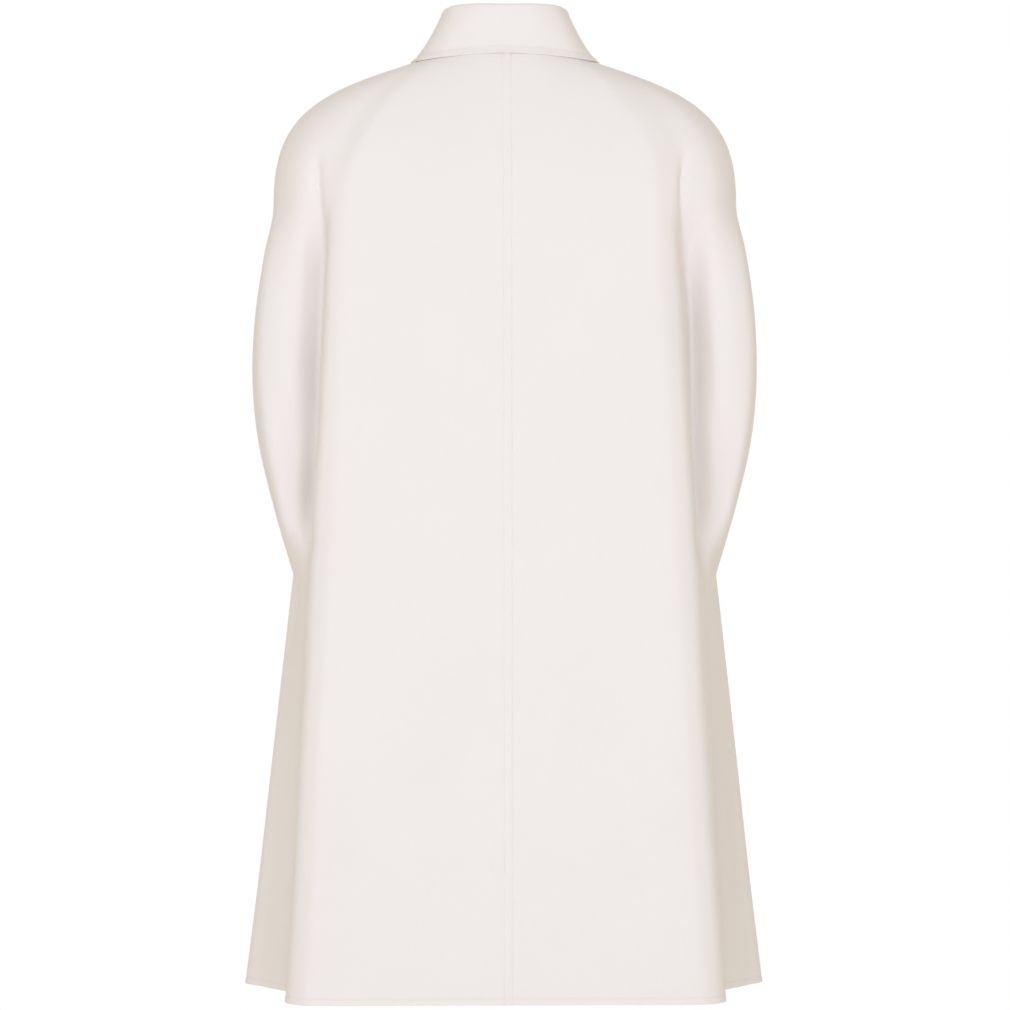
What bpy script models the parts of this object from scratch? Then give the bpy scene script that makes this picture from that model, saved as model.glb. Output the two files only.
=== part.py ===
"""Cape coat of double-faced wool, filled out as worn: backs, fronts, collar stand and fall, five buttons.

The tables and sizes are in millimetres. +X is the wearer's left, +Y the back, +Z up, and the origin is the
centre of the neck opening at the level of the neck seam at the centre back.
"""

from collections import namedtuple

import bmesh
import bpy
import numpy as np
from mathutils import Matrix, Vector

MM = 0.001

# Driving dimensions
CLOTH = 2.5  # thickness of the double-faced wool
GAP = 0.3  # between pieces at a seam
HEM_LEVEL = -922.5
YOKE_LEVEL = -150.0  # where the cloth has come off the shoulders and hangs
SLIT_TOP = -262.0
NOTCH_LEVEL = -516.0  # lower end of the arm slits, where the side turns sharply from the arm to the skirt
SLIT_GAPE = (-36.0, -13.0)  # from the slit's rear edge to its front edge where it is widest
LAP_HALF = 4.0  # half the width of the felled lap at the centre back
LAP_RISE = 0.8  # of the lap over the cloth beside it
LAP_EDGE_RISE = 0.5  # of its free edge, pressed flatter
LAP_EDGE = 1.0  # width of that flatter edge
LAP_SLOPE = 0.8  # width over which the lap comes down to the cloth on its sewn side
OVERLAP_HALF = 22.0  # how far each front passes the centre front
UNDERLAP_EASE = 6.0  # width over which the left front dips under the right one
UNDERLAP_GAP = 0.5  # between the two where they pass
STAND_GAP = 0.7  # of the stand's foot above the neckline, whose faces are flat between its points
ROLL_RADIUS = 3.4  # of the collar's fold, at its outer face
ROLL_RISE = 2.0  # from the stand's top to where the fold starts to turn
COLLAR_LIFT = 1.0  # of the fall's free edge off the body
FALL_BEND = 0.8  # how near its free edge the fall bends most, from 0 at the fold to 1 at the edge
BACK_FULLNESS = 0.3  # of the back between its middle and its flat's end, past the straight line
CHEST_FLATNESS = 2.0  # of the front between its middle and the chest line, short of the straight line
BUTTON_COUNT = 5
BUTTON_TOP = -92.0
BUTTON_PITCH = 100.0
BUTTON_RADIUS = 12.5
BUTTON_DEPTH = 4.0
BUTTON_STAND_OFF = 0.6  # of a button's back from the front it is sewn to
BUTTON_SIDES = 18
# The button's outline from the middle of its back to the middle of its face, inset from the rim.
Turn = namedtuple("Turn", "inset height")
BUTTON_OUTLINE = (
    Turn(BUTTON_RADIUS, 0.0),
    Turn(1.5, 0.0),
    Turn(0.3, 0.8),
    Turn(0.0, BUTTON_DEPTH / 2),
    Turn(0.6, BUTTON_DEPTH - 0.5),
    Turn(2.2, BUTTON_DEPTH),
    Turn(4.2, BUTTON_DEPTH - 1.2),
    Turn(BUTTON_RADIUS, BUTTON_DEPTH - 1.6),
)


# One row for each level of the hanging cloth, of the half that is wrapped round from centre back to centre
# front. A pair is (distance from the middle, depth), and back and front are depths on the middle line.
Section = namedtuple(
    "Section",
    "level back arm_rear arm_outer side seam arm_front front_hollow front_fold chest front",
)
SECTIONS = (
    Section(-150, 105, (203, 77), (221, 52), (228, 12), (227, -25), (207, -61), (182, -80), (160, -92),
            (125, -103), -106),
    Section(-200, 108, (199, 73), (229, 58), (237, 16), (234, -36), (212, -70), (184, -83), (164, -100),
            (128, -113), -115),
    Section(-260, 111.5, (201, 69), (236, 61), (245.5, 19), (240, -46), (214, -79), (185, -85), (168, -108),
            (131, -121), -123),
    Section(-315, 114.7, (205, 67), (238, 60), (247.5, 20), (241, -53), (206, -79), (186, -87), (171, -112),
            (134, -125), -128),
    Section(-380, 118.5, (204, 57), (230, 58), (242.5, 17), (235, -53), (195, -80), (186, -90), (174, -115),
            (137, -129), -132),
    Section(-450, 122.5, (203, 40), (217, 42), (227.5, 10), (220, -42), (195, -70), (188, -86), (178, -116),
            (141, -131), -135),
    Section(NOTCH_LEVEL, 126.3, (200, 42), (205, 23), (209, 2), (209, -16), (203, -48), (190, -74),
            (184, -105), (146, -132), -137),
    Section(-600, 131, (205, 41.5), (211.5, 22), (218.6, 0), (218, -22), (209, -52), (193, -76), (188, -106),
            (150, -133), -138),
    Section(-700, 137, (211.5, 36), (221, 15), (230.2, -8), (229, -29), (217, -58), (198, -79), (193, -108),
            (155, -135), -140),
    Section(-810, 143.4, (220, 29), (231.5, 6), (243, -18), (241.5, -37), (227, -65), (205, -83),
            (199, -111), (160, -137), -142),
    Section(HEM_LEVEL, 150, (228, 21), (242.5, -2), (257.5, -27), (254, -45), (238, -72), (213, -88),
            (206, -114), (166, -139), -145),
)
# The back's fold on each side, one row for each section: where the flat of the back ends, just past the
# turn, and the bottom of the hollow beside it. The wearer's right fold is the crisper.
Fold = namedtuple("Fold", "flat fold hollow")
FOLDS = {
    1: (
        Fold((152, 103.7), (169, 95.3), (179, 87.5)),
        Fold((156, 107), (169, 101), (179, 62)),
        Fold((156, 110.5), (170, 104.5), (182, 52)),
        Fold((157, 113.6), (172, 107.5), (184, 45)),
        Fold((159, 117.4), (175, 111.5), (187, 42)),
        Fold((163, 121.3), (179, 114.5), (192, 30)),
        Fold((168, 125), (182, 118), (195, 56)),
        Fold((173, 129.8), (185, 123.5), (199, 57)),
        Fold((179, 135.7), (191, 129), (203, 55)),
        Fold((183, 142), (196, 134.5), (208.5, 49)),
        Fold((190, 148.6), (203, 140.5), (214, 42)),
    ),
    -1: (
        Fold((142, 103.8), (158, 97), (171, 88.5)),
        Fold((141, 107), (160, 98.5), (177, 61)),
        Fold((145, 110.4), (163, 102), (182, 44)),
        Fold((150, 113.6), (165, 107), (184, 41)),
        Fold((154, 117.4), (168, 112), (185, 40)),
        Fold((157, 121.4), (172, 115.5), (189, 31)),
        Fold((160, 125.2), (176, 118), (193, 54)),
        Fold((165, 129.8), (178, 124.5), (198, 57)),
        Fold((171, 135.8), (183, 131), (203, 55)),
        Fold((177, 142), (190, 136.5), (208, 49)),
        Fold((186, 148.6), (197, 143), (213, 42)),
    ),
}
NOTCH_ROW = [section.level for section in SECTIONS].index(NOTCH_LEVEL)
NOTCHED_LINES = ("side", "seam")
UPRIGHT_LINES = ("hollow", "arm_rear", "arm_outer", "side", "seam", "arm_front")

# One row for each line of the cloth from the neck seam over the shoulder to the top section: where it
# leaves the neck, how far it runs out and drops on its way, and how long it hangs before that section.
NeckLine = namedtuple("NeckLine", "out depth height reach drop rise")
NECK_LINES = {
    "back": NeckLine(0, 60, 0, 18, 30, 45),
    "back_middle": NeckLine(26, 57, -0.5, 24, 22, 50),
    "flat": NeckLine(46, 46, -3, 49, 15, 62),
    "fold": NeckLine(57, 34, -4, 65, 17, 72),
    "hollow": NeckLine(63, 25, -5, 80, 20, 76),
    "arm_rear": NeckLine(67.5, 15, -5.5, 100, 26, 78),
    "arm_outer": NeckLine(69, 10, -6, 117, 31, 79),
    "side": NeckLine(70, 5, -6, 128, 34, 80),
    "seam": NeckLine(70.5, -3, -8, 124, 34, 78),
    "arm_front": NeckLine(69, -14, -15, 92, 28, 66),
    "front_hollow": NeckLine(65, -25, -24, 68, 22, 56),
    "front_fold": NeckLine(58.5, -36, -33, 50, 20, 46),
    "chest": NeckLine(46, -49, -44, 40, 27, 31),
    "front_middle": NeckLine(30, -58.5, -56, 24, 29, 26),
    "front": NeckLine(0, -64, -62, 14, 27, 25),
}
BACK_LINES = ("back", "back_middle", "flat", "fold", "hollow", "arm_rear", "arm_outer", "side", "seam")
FRONT_LINES = ("seam", "arm_front", "front_hollow", "front_fold", "chest", "front_middle", "front")
SEAM_LINE = len(BACK_LINES) - 1  # line numbers count from 0 at the centre back
FLAT_LINE = BACK_LINES.index("flat")
FLAT_HOLD = 0.8  # how far the cloth keeps the direction of the flat of the back until the fold
LAST_LINE = SEAM_LINE + len(FRONT_LINES) - 1
BACK_STEPS = (2, 3, 4, 3, 2, 2, 2, 2)  # faces between one back line and the next
FRONT_STEPS = (2, 2, 3, 3, 2)  # the last line before the overlap is the front middle one
YOKE_STEPS = 9
UPPER_LEVELS = (-165, -182, -200, -220, -240, -260, -287, -315, -347, -380, -415, -450, -483)
LOWER_LEVELS = (-516, -560, -600, -650, -700, -755, -810, -866, HEM_LEVEL)

# One row for each line of the collar, from centre back to its front end: the line of the body where the
# stand springs, the crest of the fold, the line and height of the body where the fall's edge lies, and how
# far the fall curves in before it flares at that edge.
CollarLine = namedtuple("CollarLine", "foot_line out depth height edge_line edge_height curve_in")
COLLAR_LINES = (
    CollarLine(0.0, 0, 62, 41, 0.0, -8.4, 5),
    CollarLine(1.0, 27, 60, 41.5, 1.25, -10, 5),
    CollarLine(2.0, 47, 47, 41.7, 2.4, -12, 5.5),
    CollarLine(3.4, 56, 30, 41, 3.9, -11.5, 6),
    CollarLine(6.3, 60, 8, 39, 6.6, -9.5, 6),
    CollarLine(8.0, 59.5, -8, 32, 8.0, -13.5, 4),
    CollarLine(9.5, 56, -25, 18, 9.5, -30, 2),
    CollarLine(11.2, 47, -42, 0, 11.0, -56, 1),
    CollarLine(12.4, 30, -56, -18, 12.1, -88, 0),
    CollarLine(13.85, 5, -66, -34, 13.05, -105, 0),
)
# What has no slope at the centre back, where the two halves of the collar meet.
LEVEL_AT_BACK = [CollarLine._fields.index(name) for name in ("depth", "height", "edge_height", "curve_in")]
COLLAR_STEPS = 2  # faces between one collar line and the next
ROLL_STEPS = 4  # faces over the fold
FALL_STEPS = 5  # faces down the fall
STAND_STEPS = 3

IVORY = (0.83, 0.79, 0.725)
IVORY_DEEP = (0.80, 0.755, 0.69)
BUTTON_IVORY = (0.78, 0.72, 0.63)


def hermite(values, knots, at, first=None):
    """Smooth curve through values at knots, read at each of at. first is a given slope at the start."""
    values = np.asarray(values, float)
    knots = np.asarray(knots, float)
    width = np.diff(knots)
    rate = np.diff(values, axis=0) / width.reshape(-1, *[1] * (values.ndim - 1))
    slope = np.empty_like(values)
    for i in range(1, len(knots) - 1):
        share = width[i] / (width[i - 1] + width[i])
        slope[i] = share * rate[i - 1] + (1 - share) * rate[i]
    slope[0] = rate[0] if first is None else first
    slope[-1] = rate[-1]
    at = np.asarray(at, float)
    rising = knots[-1] > knots[0]
    order = knots if rising else -knots
    cell = np.clip(np.searchsorted(order, at if rising else -at, side="right") - 1, 0, len(width) - 1)
    shape = (-1,) + (1,) * (values.ndim - 1)
    w = width[cell].reshape(shape)
    f = ((at - knots[cell]) / width[cell]).reshape(shape)
    return (
        (2 * f**3 - 3 * f**2 + 1) * values[cell]
        + (f**3 - 2 * f**2 + f) * w * slope[cell]
        + (-2 * f**3 + 3 * f**2) * values[cell + 1]
        + (f**3 - f**2) * w * slope[cell + 1]
    )


def section_point(row, line, side):
    """The (out, depth) of one line at one section."""
    section, folds = SECTIONS[row], FOLDS[side][row]
    if line == "back":
        return (0.0, section.back)
    if line == "front":
        return (0.0, section.front)
    if line == "back_middle":
        return (folds.flat[0] / 2, (section.back + folds.flat[1]) / 2 + BACK_FULLNESS)
    if line == "front_middle":
        return (section.chest[0] / 2, (section.front + section.chest[1]) / 2 - CHEST_FLATNESS)
    return getattr(folds if line in Fold._fields else section, line)


def hanging_plan(line, side):
    """The (out, depth) of one line at each section, and the levels of the sections."""
    plan = np.array([section_point(row, line, side) for row in range(len(SECTIONS))], float)
    return plan, np.array([section.level for section in SECTIONS], float)


def hanging_lean(line, side):
    """How the line leans where it meets the yoke: upright at the arm, and elsewhere as it goes on below."""
    if line in UPRIGHT_LINES:
        return np.zeros(2)
    plan, levels = hanging_plan(line, side)
    return (plan[1] - plan[0]) / (levels[1] - levels[0])


def hanging_line(line, side, front, levels):
    """Points of one line below the yoke, one for each level. The seam's line gapes at the arm slit."""
    levels = np.asarray(levels, float)
    points = np.empty((len(levels), 3))
    points[:, 2] = levels
    plan, knots = hanging_plan(line, side)
    lean = hanging_lean(line, side)
    points[:, :2] = hermite(plan, knots, levels, lean)
    if line in NOTCHED_LINES:
        above = levels >= NOTCH_LEVEL
        points[above, :2] = hermite(plan[: NOTCH_ROW + 1], knots[: NOTCH_ROW + 1], levels[above], lean)
        points[~above, :2] = hermite(plan[NOTCH_ROW:], knots[NOTCH_ROW:], levels[~above])
    if front and line == "seam":
        share = np.clip((levels - SLIT_TOP) / (NOTCH_LEVEL - SLIT_TOP), 0, 1)
        points[:, :2] += np.sin(np.pi * share)[:, None] * SLIT_GAPE
    return points


def yoke_line(line, side, down):
    """Points of one line over the shoulder, down running from 0 at the neck to 1 at the yoke's level."""
    row = NECK_LINES[line]
    neck = np.array((row.out, row.depth, row.height), float)
    foot = np.array((*section_point(0, line, side), YOKE_LEVEL))
    run = (foot - neck) * (1, 1, 0)
    leave = neck + run / np.linalg.norm(run) * row.reach - (0, 0, row.drop)
    arrive = foot + np.array((*hanging_lean(line, side), 1)) * row.rise
    f = np.asarray(down, float)[:, None]
    return (1 - f) ** 3 * neck + 3 * f * (1 - f) ** 2 * leave + 3 * f**2 * (1 - f) * arrive + f**3 * foot


def cloth_line(line, side, front, down):
    """One line of the cloth: down is 0 at the neck, 1 at the yoke's level and 2 at the hem."""
    down = np.asarray(down, float)
    points = np.empty((len(down), 3))
    over = down <= 1
    points[over] = yoke_line(line, side, down[over])
    levels = YOKE_LEVEL + (down[~over] - 1) * (HEM_LEVEL - YOKE_LEVEL)
    points[~over] = hanging_line(line, side, front, levels)
    points[:, 0] *= side
    return points


def level_to_down(level):
    return 1 + (level - YOKE_LEVEL) / (HEM_LEVEL - YOKE_LEVEL)


class Half:
    """One half of the body's outer surface, read by line number: 0 at centre back, 14 at centre front."""

    def __init__(self, side):
        self.side = side

    def lines(self, down, front):
        """The lines that the surface passes through, with one more at each end to set its slope there."""
        names = ("side", *FRONT_LINES) if front else (*BACK_LINES, "arm_front")
        rows = [cloth_line(name, self.side, front, down) for name in names]
        mirrored = np.array((-1, 1, 1))
        if front:
            rows.append(rows[-2] * mirrored)
        else:
            rows.insert(0, rows[1] * mirrored)
        return np.stack(rows, axis=1)

    def grid(self, across, down, front):
        """Points of the surface for each of down and across, which counts lines from the centre back."""
        lines = self.lines(down, front)
        chord = np.maximum(np.linalg.norm(np.diff(lines, axis=1), axis=2), 1e-6)
        rate = np.diff(lines, axis=1) / chord[:, :, None]
        share = (chord[:, 1:] / (chord[:, :-1] + chord[:, 1:]))[:, :, None]
        if not front:
            share[:, FLAT_LINE] = FLAT_HOLD
        slope = share * rate[:, :-1] + (1 - share) * rate[:, 1:]
        inner = lines[:, 1:-1]
        first = SEAM_LINE if front else 0
        local = np.asarray(across, float) - first
        cell = np.clip(np.floor(local).astype(int), 0, inner.shape[1] - 2)
        f = (local - cell)[None, :, None]
        w = chord[:, 1:-1][:, cell][:, :, None]
        return (
            (2 * f**3 - 3 * f**2 + 1) * inner[:, cell]
            + (f**3 - 2 * f**2 + f) * w * slope[:, cell]
            + (-2 * f**3 + 3 * f**2) * inner[:, cell + 1]
            + (f**3 - f**2) * w * slope[:, cell + 1]
        )

    def surface(self, across, down, front):
        """Points, outward normals and unit directions across, each an array of (down, across, 3)."""
        step = 1e-3
        across = np.asarray(across, float)
        down = np.asarray(down, float)
        points = self.grid(across, down, front)
        along_across = self.grid(across + step, down, front) - self.grid(across - step, down, front)
        along_down = self.grid(across, down + step, front) - self.grid(across, down - step, front)
        normals = np.cross(along_down, along_across) * -self.side
        return points, unit(normals), unit(along_across)


def unit(vectors):
    return vectors / np.linalg.norm(vectors, axis=-1, keepdims=True)


def spread(steps, first):
    """Line numbers with the given number of faces between one line and the next."""
    values = [first + i + k / n for i, n in enumerate(steps) for k in range(n)]
    return values + [float(first + len(steps))]


def down_values():
    yoke = [k / YOKE_STEPS for k in range(YOKE_STEPS)]
    return np.array(yoke + [1.0] + [level_to_down(level) for level in UPPER_LEVELS + LOWER_LEVELS])


def material(name, colour, roughness):
    made = bpy.data.materials.new(name)
    made.use_nodes = True
    shader = made.node_tree.nodes["Principled BSDF"]
    shader.inputs["Base Color"].default_value = (*colour, 1)
    shader.inputs["Roughness"].default_value = roughness
    shader.inputs["Metallic"].default_value = 0.0
    made.diffuse_color = (*colour, 1)
    return made


def add_object(name, mesh, collection, finish):
    made = bpy.data.objects.new(name, mesh)
    collection.objects.link(made)
    mesh.materials.append(finish)
    mesh.shade_smooth()
    return made


def wall(name, outer, inner, collection, finish):
    """Closed wall between two grids of points, with a rim on each of its four edges."""
    rows, columns = outer.shape[:2]
    bm = bmesh.new()
    sheets = [
        [[bm.verts.new(Vector(point) * MM) for point in row] for row in sheet]
        for sheet in (outer, inner)
    ]
    out, back = sheets
    for i in range(rows - 1):
        for j in range(columns - 1):
            bm.faces.new((out[i][j], out[i][j + 1], out[i + 1][j + 1], out[i + 1][j]))
            bm.faces.new((back[i][j], back[i + 1][j], back[i + 1][j + 1], back[i][j + 1]))
    for i in range(rows - 1):
        bm.faces.new((out[i][0], out[i + 1][0], back[i + 1][0], back[i][0]))
        bm.faces.new((out[i][-1], back[i][-1], back[i + 1][-1], out[i + 1][-1]))
    for j in range(columns - 1):
        bm.faces.new((out[0][j], back[0][j], back[0][j + 1], out[0][j + 1]))
        bm.faces.new((out[-1][j], out[-1][j + 1], back[-1][j + 1], back[-1][j]))
    bmesh.ops.recalc_face_normals(bm, faces=bm.faces)
    mesh = bpy.data.meshes.new(name)
    bm.to_mesh(mesh)
    bm.free()
    return add_object(name, mesh, collection, finish)


def cloth_wall(name, points, normals, collection, finish):
    return wall(name, points, points - CLOTH * normals, collection, finish)


def across_the_middle(half, front, offsets, down):
    """Points at set distances from the middle line, negative ones on the other side, with their normals."""
    middle = LAST_LINE if front else 0
    next_line = "front_middle" if front else "back_middle"
    other = Half(-half.side)
    columns = []
    for offset in offsets:
        owner = half if offset >= 0 else other
        away = abs(offset) / np.abs(cloth_line(next_line, owner.side, front, down)[:, 0])
        rows = [
            owner.surface([middle - a if front else a], [d], front)
            for a, d in zip(away, down)
        ]
        columns.append([np.concatenate([row[k] for row in rows]) for k in (0, 1)])
    points = np.concatenate([column[0] for column in columns], axis=1)
    normals = np.concatenate([column[1] for column in columns], axis=1)
    return points, normals


def seam_edge(points, tangents, column, direction):
    """Moves one edge column back from the seam by half the gap."""
    points[:, column] += direction * GAP / 2 * tangents[:, column]


def back_panel(name, half, middle_offsets, rises, collection, finish):
    down = down_values()
    across = spread(BACK_STEPS, 0)[1:]
    points, normals, tangents = half.surface(across, down, front=False)
    seam_edge(points, tangents, -1, -1)
    middle, middle_normals = across_the_middle(half, False, middle_offsets, down)
    raised = middle + np.array(rises)[None, :, None] * middle_normals
    outer = np.concatenate((raised, points), axis=1)
    thickness = CLOTH * np.concatenate((middle_normals, normals), axis=1)
    inner = np.concatenate((middle, points), axis=1) - thickness
    return wall(name, outer, inner, collection, finish)


def front_panel(name, half, middle_offsets, dips, collection, finish):
    down = down_values()
    across = spread(FRONT_STEPS, SEAM_LINE)
    points, normals, tangents = half.surface(across, down, front=True)
    seam_edge(points, tangents, 0, 1)
    middle, middle_normals = across_the_middle(half, True, middle_offsets, down)
    dipped = middle - np.array(dips)[None, :, None] * middle_normals
    outer = np.concatenate((points, dipped), axis=1)
    return cloth_wall(name, outer, np.concatenate((normals, middle_normals), axis=1), collection, finish)


def make_backs(collection):
    """The right back carries the felled lap over the middle, and the left back meets its edge."""
    foot = LAP_HALF + LAP_SLOPE / 4
    right_offsets = (-LAP_HALF, -LAP_HALF + LAP_EDGE, foot - LAP_SLOPE, foot)
    right_rises = (LAP_EDGE_RISE, LAP_RISE, LAP_RISE, 0.0)
    left_offsets = (LAP_HALF + GAP, LAP_HALF + 3 * GAP)
    cloth = material("back_left_wool", IVORY, 0.85)
    back_panel("back_left", Half(1), left_offsets, (0.0, 0.0), collection, cloth)
    cloth = material("back_right_wool", IVORY, 0.85)
    back_panel("back_right", Half(-1), right_offsets, right_rises, collection, cloth)


def make_fronts(collection):
    """The right front passes over the left one, which dips inwards to make room for it."""
    under = CLOTH + UNDERLAP_GAP
    left_offsets = (OVERLAP_HALF + UNDERLAP_EASE, OVERLAP_HALF + 1, 0, -OVERLAP_HALF)
    right_offsets = (OVERLAP_HALF, 0, -OVERLAP_HALF)
    cloth = material("front_left_wool", IVORY, 0.85)
    front_panel("front_left", Half(1), left_offsets, (0.0, under, under, under), collection, cloth)
    cloth = material("front_right_wool", IVORY, 0.85)
    front_panel("front_right", Half(-1), right_offsets, (0.0,) * 3, collection, cloth)


def collar_columns():
    """The collar's lines, refined, from its left front end round the back to its right one."""
    knots = np.arange(len(COLLAR_LINES), dtype=float)
    at = np.linspace(0, knots[-1], (len(COLLAR_LINES) - 1) * COLLAR_STEPS + 1)
    table = np.array(COLLAR_LINES, float)
    level = table[1] - table[0]
    level[LEVEL_AT_BACK] = 0
    rows = [CollarLine(*row) for row in hermite(table, knots, at, first=level)]
    return [(1, row) for row in rows[::-1]] + [(-1, row) for row in rows[1:]]


def body_at(side, line, down):
    """A point of the body's outer surface and its normal."""
    front = line > SEAM_LINE
    points, normals, _ = Half(side).surface([line], np.atleast_1d(down), front)
    return points[:, 0], normals[:, 0]


def body_at_height(side, line, height, lift):
    """The point that stands off one line of the body by lift and lies at the given height."""
    down = np.linspace(0, 0.99, 100)
    points, normals = body_at(side, line, down)
    lifted = points + lift * normals
    return np.array([np.interp(-height, -lifted[:, 2], lifted[:, k]) for k in range(3)])


def level_away(point):
    """Level direction away from the neck's middle."""
    level = np.array((point[0], point[1], 0.0))
    return level / np.linalg.norm(level)


def stand_top(crest):
    """Where the neck side of the fold meets the stand's neck side."""
    return crest - level_away(crest) * ROLL_RADIUS - (0, 0, ROLL_RADIUS + ROLL_RISE)


def make_stand(collection):
    outer, inner = [], []
    for side, row in collar_columns():
        foot = body_at(side, row.foot_line, 0.0)[0][0] + (0, 0, STAND_GAP)
        crest = np.array((side * row.out, row.depth, row.height))
        top = stand_top(crest) + level_away(crest) * CLOTH - (0, 0, GAP)
        shares = np.linspace(0, 1, STAND_STEPS + 1)[:, None]
        away = level_away(foot) * (1 - shares) + level_away(crest) * shares
        face = foot + (top - foot) * shares
        outer.append(face)
        inner.append(face - away * CLOTH)
    outer, inner = (np.stack(sheet, axis=1) for sheet in (outer, inner))
    wall("collar_stand", outer, inner, collection, material("collar_stand_wool", IVORY_DEEP, 0.88))


def fall_path(side, row):
    """The fall's outer face on one line: up from the stand on the neck side, over the fold and down."""
    crest = np.array((side * row.out, row.depth, row.height))
    away = level_away(crest)
    start = stand_top(crest)
    centre = crest - (0, 0, ROLL_RADIUS)
    turns = np.linspace(0, np.pi, ROLL_STEPS + 1)
    roll = [centre + ROLL_RADIUS * (np.sin(a) * np.array((0, 0, 1.0)) - np.cos(a) * away) for a in turns]
    edge = body_at_height(side, row.edge_line, row.edge_height, CLOTH + COLLAR_LIFT)
    bend = FALL_BEND * edge + (1 - FALL_BEND) * roll[-1] - row.curve_in * away
    fall = [
        (1 - f) ** 2 * roll[-1] + 2 * f * (1 - f) * bend + f**2 * edge
        for f in np.linspace(0, 1, FALL_STEPS + 1)[1:]
    ]
    path = np.array([start, *roll, *fall])
    along_ring = np.array((-away[1], away[0], 0.0))
    along = np.gradient(path, axis=0)
    along[0] = (0, 0, 1)
    return path, unit(np.cross(along, along_ring))


def make_fall(collection):
    paths, outwards = zip(*(fall_path(side, row) for side, row in collar_columns()))
    outer = np.stack(paths, axis=1)
    outward = np.stack(outwards, axis=1)
    cloth_wall("collar_fall", outer, outward, collection, material("collar_fall_wool", IVORY, 0.85))


def make_button(name, centre, normal, collection, finish):
    """A turned button on the given normal: flat back, rounded edge, raised rim and a dished middle."""
    bm = bmesh.new()
    outline = [((BUTTON_RADIUS - turn.inset) * MM, 0, turn.height * MM) for turn in BUTTON_OUTLINE]
    chain = [bm.verts.new(point) for point in outline]
    for a, b in zip(chain, chain[1:]):
        bm.edges.new((a, b))
    bmesh.ops.spin(
        bm,
        geom=bm.verts[:] + bm.edges[:],
        cent=(0, 0, 0),
        axis=(0, 0, 1),
        angle=np.radians(360),
        steps=BUTTON_SIDES,
        use_merge=True,
    )
    bmesh.ops.remove_doubles(bm, verts=bm.verts, dist=0.00001)
    bmesh.ops.recalc_face_normals(bm, faces=bm.faces)
    mesh = bpy.data.meshes.new(name)
    bm.to_mesh(mesh)
    bm.free()
    button = add_object(name, mesh, collection, finish)
    stand_up = Vector(normal).to_track_quat("Z", "Y").to_matrix().to_4x4()
    button.matrix_world = Matrix.Translation(Vector(centre) * MM) @ stand_up


def make_buttons(collection):
    for number in range(BUTTON_COUNT):
        level = BUTTON_TOP - number * BUTTON_PITCH
        down = level_to_down(level) if level < YOKE_LEVEL else down_in_yoke(level)
        surface, normal = (found[0] for found in body_at(-1, LAST_LINE, down))
        name = f"button_{number + 1}"
        centre = surface + BUTTON_STAND_OFF * normal
        make_button(name, centre, normal, collection, material(f"{name}_horn", BUTTON_IVORY, 0.4))


def down_in_yoke(level):
    """How far down the centre front a level above the yoke's lies."""
    down = np.linspace(0, 1, 200)
    heights = cloth_line("front", -1, True, down)[:, 2]
    return float(np.interp(-level, -heights, down))


def main():
    for leftover in list(bpy.data.objects):
        bpy.data.objects.remove(leftover, do_unlink=True)
    collection = bpy.data.collections.new("cape_coat")
    bpy.context.scene.collection.children.link(collection)
    make_backs(collection)
    make_fronts(collection)
    make_stand(collection)
    make_fall(collection)
    make_buttons(collection)


main()
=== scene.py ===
from collections import namedtuple
from math import cos, pi, radians, sin

import bmesh
import bpy
import numpy as np
from mathutils import Matrix, Vector


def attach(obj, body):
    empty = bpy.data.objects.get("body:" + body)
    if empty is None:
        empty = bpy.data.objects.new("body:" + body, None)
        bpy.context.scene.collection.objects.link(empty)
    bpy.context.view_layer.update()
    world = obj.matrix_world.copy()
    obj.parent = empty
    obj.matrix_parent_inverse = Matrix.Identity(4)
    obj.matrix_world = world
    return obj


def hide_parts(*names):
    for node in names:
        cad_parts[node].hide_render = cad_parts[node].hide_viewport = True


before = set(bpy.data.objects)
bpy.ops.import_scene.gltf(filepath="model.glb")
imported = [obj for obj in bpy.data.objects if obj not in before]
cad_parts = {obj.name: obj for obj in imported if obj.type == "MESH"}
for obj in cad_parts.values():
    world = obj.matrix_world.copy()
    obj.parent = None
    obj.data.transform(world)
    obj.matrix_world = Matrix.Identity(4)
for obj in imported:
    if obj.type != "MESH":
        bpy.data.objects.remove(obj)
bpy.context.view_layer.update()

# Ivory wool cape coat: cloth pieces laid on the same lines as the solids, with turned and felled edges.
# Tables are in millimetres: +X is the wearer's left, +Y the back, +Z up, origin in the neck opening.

bpy.ops.object.select_all(action="DESELECT")

MM = 0.001

CLOTH = 2.5
GAP = 0.3
HEM_LEVEL = -922.5
YOKE_LEVEL = -150.0
SLIT_TOP = -262.0
NOTCH_LEVEL = -516.0
SLIT_GAPE = (-36.0, -13.0)
LAP_HALF = 4.0
LAP_RISE = 0.8
OVERLAP_HALF = 22.0
UNDERLAP_EASE = 6.0
STAND_GAP = 0.7
ROLL_RADIUS = 3.4
ROLL_RISE = 2.0
ROLL_STEPS = 10
FALL_BEND = 0.8  # how near its edge the collar's fall bends
COLLAR_LIFT = 1.0  # of the leaf's edge off the body, over the lap at the middle
EDGE_LIFT = -0.06  # and away from the middle, where it presses into the nap
BUTTON_COUNT = 5
BUTTON_TOP = -92.0
BUTTON_PITCH = 100.0
BUTTON_RADIUS = 12.5
BUTTON_DEPTH = 4.0
BUTTON_STAND_OFF = 0.6

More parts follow.
